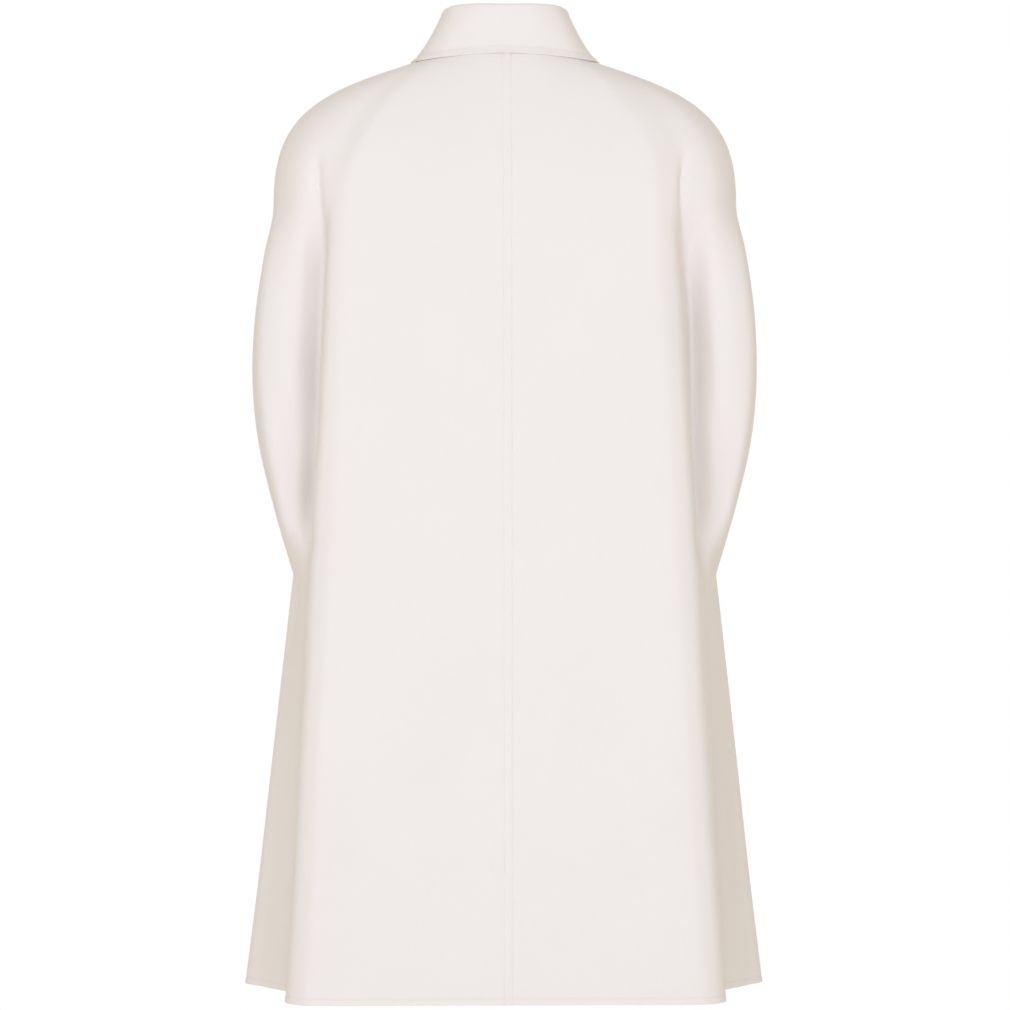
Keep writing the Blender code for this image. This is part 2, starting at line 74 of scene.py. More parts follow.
FELL = 6.2  # from a turned edge to the line of hidden stitches that holds it
FELL_DEPTH = 0.32
FELL_WIDTH = 0.75
EDGE_PUFF = 0.22  # the turned edge is a little fuller than the cloth
SHELL = 2.4  # thickness of the laid cloth, just inside its solid
EDGE_ROUND = 0.95  # at the fronts' edges
BACK_EDGE_ROUND = 0.65
BAND_EDGE_ROUND = 0.6
LEAF_EDGE_ROUND = 0.8
HOLE_LENGTH = 29.5  # of a buttonhole, from just past the button's middle inwards
HOLE_START = 3.0  # how far past the button's middle it starts
HOLE_STITCH = 0.8  # from one stitch to the next

# The camera stands behind the coat, a little to the wearer's left, in metres and degrees.
CAMERA_DISTANCE = 3.75
CAMERA_HEIGHT = -0.447
CAMERA_TURN = 1.3

Section = namedtuple(
    "Section", "level back arm_rear arm_outer side seam arm_front front_hollow front_fold chest front"
)
SECTIONS = (
    Section(-150, 105, (203, 77), (221, 52), (228, 12), (227, -25), (207, -61), (182, -80),
            (160, -92), (125, -103), -106),
    Section(-200, 108, (199, 73), (229, 58), (237, 16), (234, -36), (212, -70), (184, -83), (164, -100),
            (128, -113), -115),
    Section(-260, 111.5, (201, 69), (236, 61), (245.5, 19), (240, -46), (214, -79), (185, -85), (168, -108),
            (131, -121), -123),
    Section(-315, 114.7, (205, 67), (238, 60), (247.5, 20), (241, -53), (206, -79), (186, -87), (171, -112),
            (134, -125), -128),
    Section(-380, 118.5, (204, 57), (230, 58), (242.5, 17), (235, -53), (195, -80), (186, -90), (174, -115),
            (137, -129), -132),
    Section(-450, 122.5, (203, 40), (217, 42), (227.5, 10), (220, -42), (195, -70), (188, -86), (178, -116),
            (141, -131), -135),
    Section(NOTCH_LEVEL, 126.3, (200, 42), (205, 23), (209, 2), (209, -16), (203, -48), (190, -74),
            (184, -105), (146, -132), -137),
    Section(-600, 131, (205, 41.5), (211.5, 22), (218.6, 0), (218, -22), (209, -52), (193, -76),
            (188, -106), (150, -133), -138),
    Section(-700, 137, (211.5, 36), (221, 15), (230.2, -8), (229, -29), (217, -58), (198, -79), (193, -108),
            (155, -135), -140),
    Section(-810, 143.4, (220, 29), (231.5, 6), (243, -18), (241.5, -37), (227, -65), (205, -83),
            (199, -111), (160, -137), -142),
    Section(HEM_LEVEL, 150, (228, 21), (242.5, -2), (257.5, -27), (254, -45), (238, -72), (213, -88),
            (206, -114), (166, -139), -145),
)
# The back's fold on each side, one row for each section: where the flat of the back ends, just past
# the turn, and the bottom of the hollow beside it. The wearer's right fold is the crisper.
Fold = namedtuple("Fold", "flat fold hollow")
FOLDS = {
    1: (
        Fold((152, 103.7), (169, 95.3), (179, 87.5)),
        Fold((156, 107), (169, 101), (179, 62)),
        Fold((156, 110.5), (170, 104.5), (182, 52)),
        Fold((157, 113.6), (172, 107.5), (184, 45)),
        Fold((159, 117.4), (175, 111.5), (187, 42)),
        Fold((163, 121.3), (179, 114.5), (192, 30)),
        Fold((168, 125), (182, 118), (195, 56)),
        Fold((173, 129.8), (185, 123.5), (199, 57)),
        Fold((179, 135.7), (191, 129), (203, 55)),
        Fold((183, 142), (196, 134.5), (208.5, 49)),
        Fold((190, 148.6), (203, 140.5), (214, 42)),
    ),
    -1: (
        Fold((142, 103.8), (158, 97), (171, 88.5)),
        Fold((141, 107), (160, 98.5), (177, 61)),
        Fold((145, 110.4), (163, 102), (182, 44)),
        Fold((150, 113.6), (165, 107), (184, 41)),
        Fold((154, 117.4), (168, 112), (185, 40)),
        Fold((157, 121.4), (172, 115.5), (189, 31)),
        Fold((160, 125.2), (176, 118), (193, 54)),
        Fold((165, 129.8), (178, 124.5), (198, 57)),
        Fold((171, 135.8), (183, 131), (203, 55)),
        Fold((177, 142), (190, 136.5), (208, 49)),
        Fold((186, 148.6), (197, 143), (213, 42)),
    ),
}
NOTCH_ROW = [section.level for section in SECTIONS].index(NOTCH_LEVEL)
NOTCHED_LINES = ("side", "seam")
UPRIGHT_LINES = ("hollow", "arm_rear", "arm_outer", "side", "seam", "arm_front")

NeckLine = namedtuple("NeckLine", "out depth height reach drop rise")
NECK_LINES = {
    "back": NeckLine(0, 60, 0, 18, 30, 45),
    "back_middle": NeckLine(26, 57, -0.5, 24, 22, 50),
    "flat": NeckLine(46, 46, -3, 49, 15, 62),
    "fold": NeckLine(57, 34, -4, 65, 17, 72),
    "hollow": NeckLine(63, 25, -5, 80, 20, 76),
    "arm_rear": NeckLine(67.5, 15, -5.5, 100, 26, 78),
    "arm_outer": NeckLine(69, 10, -6, 117, 31, 79),
    "side": NeckLine(70, 5, -6, 128, 34, 80),
    "seam": NeckLine(70.5, -3, -8, 124, 34, 78),
    "arm_front": NeckLine(69, -14, -15, 92, 28, 66),
    "front_hollow": NeckLine(65, -25, -24, 68, 22, 56),
    "front_fold": NeckLine(58.5, -36, -33, 50, 20, 46),
    "chest": NeckLine(46, -49, -44, 40, 27, 31),
    "front_middle": NeckLine(30, -58.5, -56, 24, 29, 26),
    "front": NeckLine(0, -64, -62, 14, 27, 25),
}
# Lines in the order that the cloth passes them, -1 for those of the other half, past the middle.
# They are numbered from 0 at the centre back to 14 at the centre front, with the seam at 8.
BACK_RING = (
    ("flat", -1), ("back_middle", -1), ("back", 1), ("back_middle", 1), ("flat", 1), ("fold", 1),
    ("hollow", 1), ("arm_rear", 1), ("arm_outer", 1), ("side", 1), ("seam", 1), ("arm_front", 1),
)
FRONT_RING = (
    ("side", 1), ("seam", 1), ("arm_front", 1), ("front_hollow", 1), ("front_fold", 1), ("chest", 1),
    ("front_middle", 1), ("front", 1), ("front_middle", -1), ("chest", -1),
)
FLAT_LINE = 2
FLAT_HOLD = 0.8
SEAM_LINE = 8
LAST_LINE = 14

CollarLine = namedtuple("CollarLine", "foot_line out depth height edge_line edge_height curve_in")
COLLAR_LINES = (
    CollarLine(0.0, 0, 62, 41, 0.0, -5.8, 7.5),
    CollarLine(1.0, 27, 60, 41.5, 1.25, -7.4, 7.5),
    CollarLine(2.0, 47, 47, 41.7, 2.4, -9.9, 6.5),
    CollarLine(3.4, 56, 30, 41, 3.9, -10.6, 6),
    CollarLine(6.3, 60, 8, 39, 6.6, -9.5, 6),
    CollarLine(8.0, 59.5, -8, 32, 8.0, -13.5, 4),
    CollarLine(9.5, 56, -25, 18, 9.5, -30, 2),
    CollarLine(11.2, 47, -42, 0, 11.0, -56, 1),
    CollarLine(12.4, 30, -56, -18, 12.1, -88, 0),
    CollarLine(13.85, 5, -66, -34, 13.05, -105, 0),
)

# Soft creases laid in one by one: where each starts and ends, by line and level, how wide and how high it
# is.
# Over the yoke a level runs on evenly with the cloth, so it is more than the height there.
Crease = namedtuple("Crease", "top_line top_level foot_line foot_level width height")
BACK_CREASES = {
    1: (
        Crease(4.4, 24, 4.0, -228, 4.2, -4.2),
        Crease(1.55, -60, 1.75, -300, 30, 0.6),
        Crease(1.2, -560, 1.35, -922, 38, 0.9),
        Crease(1.85, -640, 1.8, -922, 16, -0.6),
        Crease(5.6, -300, 5.9, -500, 12, -0.7),
        Crease(6.3, -610, 6.5, -922, 14, 0.9),
    ),
    -1: (
        Crease(4.2, 24, 3.75, -228, 4.0, -4.9),
        Crease(1.6, -70, 1.8, -260, 26, 0.6),
        Crease(1.35, -520, 1.2, -922, 34, -0.8),
        Crease(5.4, -280, 5.8, -480, 13, -0.8),
        Crease(6.6, -640, 6.2, -922, 14, 0.7),
    ),
}
FRONT_CREASES = {
    1: (
        Crease(11.2, -110, 11.0, -420, 14, 0.9),
        Crease(12.1, -130, 12.4, -520, 24, -0.8),
        Crease(10.2, -230, 10.3, -480, 9, -0.9),
        Crease(11.6, -520, 11.9, -922, 22, 1.0),
        Crease(9.3, -600, 9.2, -922, 13, 0.9),
    ),
    -1: (
        Crease(11.0, -125, 10.9, -380, 12, 1.0),
        Crease(12.3, -150, 12.0, -600, 26, -0.7),
        Crease(10.15, -250, 10.3, -460, 9, -0.8),
        Crease(11.9, -480, 11.5, -922, 20, 1.0),
        Crease(9.1, -620, 9.4, -922, 12, 0.9),
    ),
}


# Columns of points beside the seam, by their distance from it, and how many there are elsewhere.
SEAM_OFFSETS = (14, 11, 9, 7.6, 6.9, 6.2, 5.5, 4.7, 3.4, 2.0, GAP / 2)
BACK_COLUMNS = 104
FRONT_COLUMNS = 92
YOKE_ROWS = 64
ROW_STEP = 4.0  # between rows below the yoke
# Rows of points beside the hem and beside the collar's edge, by their distance from it.
HEM_OFFSETS = np.array((12, 9.5, 7.8, 7.0, 6.5, 6.2, 5.9, 5.4, 4.6, 3.4, 2.2, 0))
LEAF_OFFSETS = np.array((14, 11, 9, 7.8, 7.1, 6.6, 6.2, 5.8, 5.2, 4.4, 3.2, 2.0, 0))
LEAF_FLAT = 17  # from the edge to the last of the evenly spaced rows
LEAF_ROWS = 16


def hermite(values, knots, at, first=None):
    """Smooth curve through values at knots, read at each of at; first sets the slope at its start."""
    values = np.asarray(values, float)
    knots = np.asarray(knots, float)
    width = np.diff(knots)
    rate = np.diff(values, axis=0) / width.reshape(-1, *[1] * (values.ndim - 1))
    slope = np.empty_like(values)
    for i in range(1, len(knots) - 1):
        share = width[i] / (width[i - 1] + width[i])
        slope[i] = share * rate[i - 1] + (1 - share) * rate[i]
    slope[0] = rate[0] if first is None else first
    slope[-1] = rate[-1]
    at = np.asarray(at, float)
    rising = knots[-1] > knots[0]
    order = knots if rising else -knots
    cell = np.clip(np.searchsorted(order, at if rising else -at, side="right") - 1, 0, len(width) - 1)
    shape = (-1,) + (1,) * (values.ndim - 1)
    w = width[cell].reshape(shape)
    f = ((at - knots[cell]) / width[cell]).reshape(shape)
    return (
        (2 * f**3 - 3 * f**2 + 1) * values[cell]
        + (f**3 - 2 * f**2 + f) * w * slope[cell]
        + (-2 * f**3 + 3 * f**2) * values[cell + 1]
        + (f**3 - f**2) * w * slope[cell + 1]
    )


def section_point(row, line, side):
    section, folds = SECTIONS[row], FOLDS[side][row]
    if line == "back":
        return (0.0, section.back)
    if line == "front":
        return (0.0, section.front)
    if line == "back_middle":
        return (folds.flat[0] / 2, (section.back + folds.flat[1]) / 2 + 0.3)
    if line == "front_middle":
        return (section.chest[0] / 2, (section.front + section.chest[1]) / 2 - 2.0)
    return getattr(folds if line in Fold._fields else section, line)


def hanging_plan(line, side):
    plan = np.array([section_point(row, line, side) for row in range(len(SECTIONS))], float)
    return plan, np.array([section.level for section in SECTIONS], float)


def hanging_lean(line, side):
    if line in UPRIGHT_LINES:
        return np.zeros(2)
    plan, levels = hanging_plan(line, side)
    return (plan[1] - plan[0]) / (levels[1] - levels[0])


def hanging_line(line, side, front, levels):
    levels = np.asarray(levels, float)
    points = np.empty((len(levels), 3))
    points[:, 2] = levels
    plan, knots = hanging_plan(line, side)
    lean = hanging_lean(line, side)
    points[:, :2] = hermite(plan, knots, levels, lean)
    if line in NOTCHED_LINES:
        above = levels >= NOTCH_LEVEL
        points[above, :2] = hermite(plan[: NOTCH_ROW + 1], knots[: NOTCH_ROW + 1], levels[above], lean)
        points[~above, :2] = hermite(plan[NOTCH_ROW:], knots[NOTCH_ROW:], levels[~above])
    if front and line == "seam":
        share = np.clip((levels - SLIT_TOP) / (NOTCH_LEVEL - SLIT_TOP), 0, 1)
        points[:, :2] += np.sin(pi * share)[:, None] * SLIT_GAPE
    return points


def yoke_line(line, side, down):
    row = NECK_LINES[line]
    neck = np.array((row.out, row.depth, row.height), float)
    foot = np.array((*section_point(0, line, side), YOKE_LEVEL))
    run = (foot - neck) * (1, 1, 0)
    leave = neck + run / np.linalg.norm(run) * row.reach - (0, 0, row.drop)
    arrive = foot + np.array((*hanging_lean(line, side), 1)) * row.rise
    f = np.asarray(down, float)[:, None]
    return (1 - f) ** 3 * neck + 3 * f * (1 - f) ** 2 * leave + 3 * f**2 * (1 - f) * arrive + f**3 * foot


def level_to_down(level):
    return 1 + (level - YOKE_LEVEL) / (HEM_LEVEL - YOKE_LEVEL)


def down_to_level(down):
    return YOKE_LEVEL + (down - 1) * (HEM_LEVEL - YOKE_LEVEL)


def cloth_lines(side, front, down):
    """All the lines of one half, an array of (down, line, 3).

    down is 0 at the neck, 1 at the yoke and 2 at the hem.
    """
    down = np.asarray(down, float)
    over = down <= 1
    rows = []
    for line, half in FRONT_RING if front else BACK_RING:
        points = np.empty((len(down), 3))
        points[over] = yoke_line(line, side, down[over])
        points[~over] = hanging_line(line, side, front, down_to_level(down[~over]))
        points[:, 0] *= side * half
        rows.append(points)
    return np.stack(rows, axis=1)


def first_line(front):
    return SEAM_LINE if front else -1


def cloth_points(lines, front, across):
    """Points of the surface; across has a row of line numbers for each row of lines."""
    chord = np.maximum(np.linalg.norm(np.diff(lines, axis=1), axis=2), 1e-6)
    rate = np.diff(lines, axis=1) / chord[:, :, None]
    share = (chord[:, 1:] / (chord[:, :-1] + chord[:, 1:]))[:, :, None]
    if not front:
        share[:, FLAT_LINE - first_line(front)] = FLAT_HOLD
    slope = share * rate[:, :-1] + (1 - share) * rate[:, 1:]
    inner = lines[:, 1:-1]
    local = across - first_line(front)
    cell = np.clip(np.floor(local).astype(int), 0, inner.shape[1] - 2)
    row = np.arange(len(lines))[:, None]
    f = (local - cell)[:, :, None]
    w = chord[:, 1:-1][row, cell][:, :, None]
    return (
        (2 * f**3 - 3 * f**2 + 1) * inner[row, cell]
        + (f**3 - 2 * f**2 + f) * w * slope[row, cell]
        + (-2 * f**3 + 3 * f**2) * inner[row, cell + 1]
        + (f**3 - f**2) * w * slope[row, cell + 1]
    )


def unit(vectors):
    return vectors / np.maximum(np.linalg.norm(vectors, axis=-1, keepdims=True), 1e-9)


def body_at(side, line, down):
    """A point of the body's outer surface and its normal, for each of down."""
    front = line > SEAM_LINE
    down = np.atleast_1d(np.asarray(down, float))
    step = 1e-3
    at = np.full((len(down), 1), float(line))
    lines = cloth_lines(side, front, down)
    along_across = cloth_points(lines, front, at + step) - cloth_points(lines, front, at - step)
    higher, lower = (cloth_points(cloth_lines(side, front, down + s), front, at) for s in (-step, step))
    normal = unit(np.cross(lower - higher, along_across) * -side)
    return cloth_points(lines, front, at)[:, 0], normal[:, 0]


def smooth_step(value, low, high):
    share = np.clip((value - low) / (high - low), 0, 1)
    return share * share * (3 - 2 * share)


def line_arcs(lines):
    """How far along the cloth each line lies from the first, in each row."""
    chord = np.linalg.norm(np.diff(lines[:, 1:-1], axis=1), axis=2)
    return np.concatenate((np.zeros((len(lines), 1)), np.cumsum(chord, axis=1)), axis=1)


def across_at(arcs, front, positions):
    """Line numbers at the given distances along the cloth, a row of them for each row of arcs."""
    numbers = np.arange(arcs.shape[1]) + first_line(front)
    return np.array([np.interp(position, arc, numbers) for position, arc in zip(positions, arcs)])


def row_values():
    """down for each row of the cloth, closer together where the hem is turned up and felled."""
    levels = np.arange(YOKE_LEVEL, HEM_LEVEL + 15, -ROW_STEP)
    levels = np.concatenate((levels, HEM_LEVEL + HEM_OFFSETS))
    neck = (0, 0.012, 0.024, *np.linspace(0.04, 1, YOKE_ROWS)[:-1])
    return np.concatenate((neck, level_to_down(levels)))


def fell_relief(distance):
    """Height of a turned edge over the plain cloth, by distance from the edge."""
    groove = -FELL_DEPTH * np.exp(-(((distance - FELL) / FELL_WIDTH) ** 2))
    puff = EDGE_PUFF * (1 - smooth_step(distance, FELL - 2.5, FELL + 0.6))
    return groove + puff


def groove_shade_line(distance):
    """1 on the stitch line and 0 away from it; the wool's colour is darkened there as painted shade in the
    stitch groove.
    """
    return np.exp(-(((distance - FELL) / (FELL_WIDTH * 1.5)) ** 2))


def crease_relief(creases, arcs, front, positions, levels):
    """Height of the soft creases at each point of the cloth."""
    numbers = np.arange(arcs.shape[1]) + first_line(front)
    relief = np.zeros(positions.shape)
    for crease in creases:
        share = (levels - crease.top_level) / (crease.foot_level - crease.top_level)
        line = crease.top_line + np.clip(share, 0, 1) * (crease.foot_line - crease.top_line)
        middle = np.array([np.interp(n, numbers, arc) for n, arc in zip(line, arcs)])
        open_foot = crease.foot_level < HEM_LEVEL + 5
        fade = smooth_step(share, -0.05, 0.4) * (1 if open_foot else 1 - smooth_step(share, 0.5, 1.05))
        away = (positions - middle[:, None]) / crease.width
        relief += crease.height * fade[:, None] * np.exp(-(away**2))
    return relief


def grid_normals(points, side):
    down, across = np.gradient(points, axis=0), np.gradient(points, axis=1)
    return unit(np.cross(down, across) * -side)


def laid_grid(name, points, groove_shade):
    """A primitive grid whose vertices are laid on points, row 0 at the top, faces towards the outside.

    The last argument says for each point how near it is to a line of hidden stitches or to the back lap's
    edge; the wool's finish darkens the colour there as painted shade in those grooves.
    """
    rows, columns = points.shape[:2]
    bpy.ops.mesh.primitive_grid_add(x_subdivisions=columns - 1, y_subdivisions=rows - 1, size=1)
    made = bpy.context.active_object
    made.name = name
    made.data.name = name
    count = len(made.data.vertices)
    flat = np.empty(count * 3)
    made.data.vertices.foreach_get("co", flat)
    flat = flat.reshape(-1, 3)
    column = np.rint((0.5 - flat[:, 0]) * (columns - 1)).astype(int)
    row = np.rint((0.5 - flat[:, 1]) * (rows - 1)).astype(int)
    laid = points[row, column] * MM
    made.data.vertices.foreach_set("co", laid.ravel())
    layer = made.data.attributes.new("groove_shade", "FLOAT", "POINT")
    layer.data.foreach_set("value", groove_shade[row, column].astype(np.float32))
    lay_uvs(made.data, points)
    made.data.update()
    return made


def lay_uvs(mesh, points):
    """Makes the grid's UV map follow the cloth's real size, in metres."""
    steps = np.linalg.norm(np.diff(points[-1], axis=0), axis=1)
    across = np.concatenate(([0], np.cumsum(steps))) * MM
    middle = points.shape[1] // 2
    steps = np.linalg.norm(np.diff(points[:, middle], axis=0), axis=1)
    along = np.concatenate(([0], np.cumsum(steps))) * MM
    layer = mesh.uv_layers.active.data
    uvs = np.empty(len(layer) * 2)
    layer.foreach_get("uv", uvs)
    uvs = uvs.reshape(-1, 2)
    columns = np.linspace(1, 0, points.shape[1])[::-1]
    rows = np.linspace(0, 1, points.shape[0])
    out = np.interp(1 - uvs[:, 0], columns, across)
    down = np.interp(1 - uvs[:, 1], rows, along)
    layer.foreach_set("uv", np.column_stack((out, -down)).ravel())


def thicken(piece, rounding):
    """Gives the laid cloth its thickness inwards and rounds its turned edges."""
    bpy.ops.object.select_all(action="DESELECT")
    piece.select_set(True)
    bpy.context.view_layer.objects.active = piece
    shell = piece.modifiers.new("thickness", "SOLIDIFY")
    shell.thickness = SHELL * MM
    shell.offset = -1
    bpy.ops.object.modifier_apply(modifier=shell.name)
    edge = piece.modifiers.new("turned_edge", "BEVEL")
    edge.width = rounding * MM
    edge.segments = 3
    edge.limit_method = "ANGLE"
    edge.angle_limit = radians(50)
    bpy.ops.object.modifier_apply(modifier=edge.name)
    bpy.ops.object.shade_smooth_by_angle(angle=radians(70))
    piece.select_set(False)
    return piece


def column_positions(length, start_offsets, end_offsets, count):
    """Distances along each row: set offsets from both ends, and even steps between."""
    start = np.asarray(start_offsets, float)[None, :] + np.zeros((len(length), 1))
    end = length[:, None] - np.asarray(end_offsets, float)[None, :]
    share = np.linspace(0, 1, count + 2)[None, 1:-1]
    between = start[:, -1:] + (end[:, :1] - start[:, -1:]) * share
    return np.concatenate((start, between, end), axis=1)


def back_piece(name, side, start_offsets, lap_rise, crease_list):
    down = row_values()
    levels = down_to_level(down)
    lines = cloth_lines(side, False, down)
    arcs = line_arcs(lines)
    middle = arcs[:, 1]
    length = arcs[:, -1] - middle
    positions = middle[:, None] + column_positions(length, start_offsets, SEAM_OFFSETS, BACK_COLUMNS)
    points = cloth_points(lines, False, across_at(arcs, False, positions))
    from_middle = positions - middle[:, None]
    from_seam = arcs[:, -1:] - positions
    from_hem = (levels - HEM_LEVEL)[:, None] + np.zeros(positions.shape)
    relief = crease_relief(crease_list, arcs, False, positions, levels)
    relief += fell_relief(from_hem) + fell_relief(from_seam) * smooth_step(from_hem, 2, 9)
    relief += lap_rise(from_middle)
    # Painted shade: the colour darkens along the stitch grooves of the hem and the seam, and a painted
    # shadow lies beside the lap's edge at the middle.
    groove_shade = np.maximum(groove_shade_line(from_hem), groove_shade_line(from_seam))
    groove_shade = np.maximum(groove_shade, 0.4 * np.exp(-(((from_middle - LAP_HALF - 0.4) / 0.9) ** 2)))
    points = points + relief[:, :, None] * grid_normals(points, side)
    if side < 0:
        points, groove_shade = points[:, ::-1], groove_shade[:, ::-1]
    return thicken(laid_grid(name, points, groove_shade), BACK_EDGE_ROUND)


def right_lap(from_middle):
    """The right back's lap lies over the middle; its own stitch groove is on the near side."""
    rise = LAP_RISE * 0.7 * (1 - smooth_step(from_middle, 2.8, 5.0))
    crown = 0.12 * np.clip(1 - (from_middle / 4) ** 2, 0, 1)
    return rise + crown - 0.16 * np.exp(-(((from_middle - 4.9) / 0.8) ** 2))


def left_lap(from_middle):
    """The left back swells a little where it meets the lap's edge."""
    return 0.2 * np.exp(-(((from_middle - LAP_HALF) / 1.3) ** 2))


def front_piece(name, side, end_offsets, dip, crease_list):
    down = row_values()
    levels = down_to_level(down)
    lines = cloth_lines(side, True, down)
    arcs = line_arcs(lines)
    middle = arcs[:, LAST_LINE - SEAM_LINE]
    start = (GAP / 2, *sorted(SEAM_OFFSETS[:-1]))
    positions = column_positions(middle, start, end_offsets, FRONT_COLUMNS)
    points = cloth_points(lines, True, across_at(arcs, True, positions))
    past_middle = positions - middle[:, None]
    from_edge = OVERLAP_HALF - past_middle
    from_hem = (levels - HEM_LEVEL)[:, None] + np.zeros(positions.shape)
    slit = smooth_step(-levels, -SLIT_TOP - 12, -SLIT_TOP + 6)
    slit = (slit * (1 - smooth_step(-levels, -NOTCH_LEVEL, -NOTCH_LEVEL + 14)))[:, None]
    relief = crease_relief(crease_list, arcs, True, positions, levels)
    relief += fell_relief(from_hem) + fell_relief(from_edge) * smooth_step(from_hem, 2, 9)
    relief += fell_relief(positions) * slit
    relief -= dip * smooth_step(past_middle, -OVERLAP_HALF - UNDERLAP_EASE, -OVERLAP_HALF - 1)
    # Painted shade: the colour darkens along the stitch grooves of the hem, the front edge and the slit.
    groove_shade = np.maximum(groove_shade_line(from_hem), groove_shade_line(from_edge))
    groove_shade = np.maximum(groove_shade, groove_shade_line(positions) * slit)
    points = points + relief[:, :, None] * grid_normals(points, side)
    if side < 0:
        points, groove_shade = points[:, ::-1], groove_shade[:, ::-1]
    return thicken(laid_grid(name, points, groove_shade), EDGE_ROUND)


def collar_rows(steps):
    """The collar's lines, refined, from its left front end round the back to its right one."""
    knots = np.arange(len(COLLAR_LINES), dtype=float)
    at = np.linspace(0, knots[-1], (len(COLLAR_LINES) - 1) * steps + 1)
    table = np.array(COLLAR_LINES, float)
    # Both halves meet smoothly at the middle: only the columns that run outwards change there.
    start = CollarLine(*(table[1] - table[0]))._replace(depth=0, height=0, edge_height=0, curve_in=0)
    rows = [CollarLine(*row) for row in hermite(table, knots, at, first=np.array(start))]
    return [(1, row) for row in rows[::-1]] + [(-1, row) for row in rows[1:]]


def body_at_height(side, line, height, lift):
    points, normals = body_at(side, line, np.linspace(0, 0.99, 100))
    lifted = points + lift * normals
    return np.array([np.interp(-height, -lifted[:, 2], lifted[:, k]) for k in range(3)])


def level_away(point):
    level = np.array((point[0], point[1], 0.0))
    return level / np.linalg.norm(level)


def stand_top(crest):
    return crest - level_away(crest) * ROLL_RADIUS - (0, 0, ROLL_RADIUS + ROLL_RISE)


def stand_piece():
    columns = []
    for side, row in collar_rows(6):
        foot = body_at(side, row.foot_line, 0.0)[0][0] + (0, 0, STAND_GAP)
        crest = np.array((side * row.out, row.depth, row.height))
        top = stand_top(crest) + level_away(crest) * CLOTH - (0, 0, GAP)
        columns.append(foot + (top - foot) * np.linspace(0, 1, 13)[::-1, None])
    points = np.stack(columns, axis=1)[:, ::-1]
    return thicken(laid_grid("collar_band", points, np.zeros(points.shape[:2])), BAND_EDGE_ROUND)


def fall_column(side, row):
    crest = np.array((side * row.out, row.depth, row.height))
    away = level_away(crest)
    start = stand_top(crest)
    centre = crest - (0, 0, ROLL_RADIUS)
    turn = np.linspace(0, pi, ROLL_STEPS + 1)
    roll = [centre + ROLL_RADIUS * (np.array((0, 0, sin(a))) - cos(a) * away) for a in turn]
    lift = EDGE_LIFT + (COLLAR_LIFT - EDGE_LIFT) * np.exp(-((row.edge_line / 0.5) ** 2))
    edge = body_at_height(side, row.edge_line, row.edge_height, CLOTH + lift)
    bend = FALL_BEND * edge + (1 - FALL_BEND) * roll[-1] - row.curve_in * away
    length = np.linalg.norm(edge - roll[-1])
    even = np.linspace(0, 1 - LEAF_FLAT / length, LEAF_ROWS)[1:]
    shares = np.concatenate((even, 1 - LEAF_OFFSETS / length))
    fall = [(1 - f) ** 2 * roll[-1] + 2 * f * (1 - f) * bend + f**2 * edge for f in shares]
    return np.array([start, *roll, *fall])


def fall_piece():
    """The turn-down part of the collar, with its edge turned in and felled as the hem is."""
    points = np.stack([fall_column(side, row) for side, row in collar_rows(9)], axis=1)[:, ::-1]
    down_arc = np.cumsum(np.linalg.norm(np.diff(points, axis=0, prepend=points[:1]), axis=2), axis=0)
    from_edge = down_arc[-1:] - down_arc
    across_arc = np.cumsum(np.linalg.norm(np.diff(points, axis=1, prepend=points[:, :1]), axis=2), axis=1)
    from_end = np.minimum(across_arc, across_arc[:, -1:] - across_arc)
    distance = np.minimum(from_edge, from_end)
    on_leaf = (np.arange(len(points)) > ROLL_STEPS + 2)[:, None]
    relief = np.where(on_leaf, fell_relief(distance), 0)
    # Painted shade: the colour darkens along the leaf's stitch groove.
    groove_shade = np.where(on_leaf, groove_shade_line(distance), 0)
    normals = unit(np.cross(np.gradient(points, axis=1), np.gradient(points, axis=0)))
    points = points + relief[:, :, None] * normals
    return thicken(laid_grid("collar_leaf", points, groove_shade), LEAF_EDGE_ROUND)


class Value:
    """A number that varies over a surface. Python's signs on it add the Math nodes."""

    def __init__(self, finish, socket):
        self.finish = finish
        self.socket = socket

    def with_math(self, operation, first, second):
        node = self.finish.node("ShaderNodeMath", {"operation": operation}, {0: first, 1: second})
        return Value(self.finish, node.outputs[0])

    def __add__(self, other):
        return self.with_math("ADD", self, other)

    def __radd__(self, other):
        return self.with_math("ADD", other, self)

    def __sub__(self, other):
        return self.with_math("SUBTRACT", self, other)

    def __rsub__(self, other):
        return self.with_math("SUBTRACT", other, self)

    def __mul__(self, other):
        return self.with_math("MULTIPLY", self, other)

    def __rmul__(self, other):
        return self.with_math("MULTIPLY", other, self)


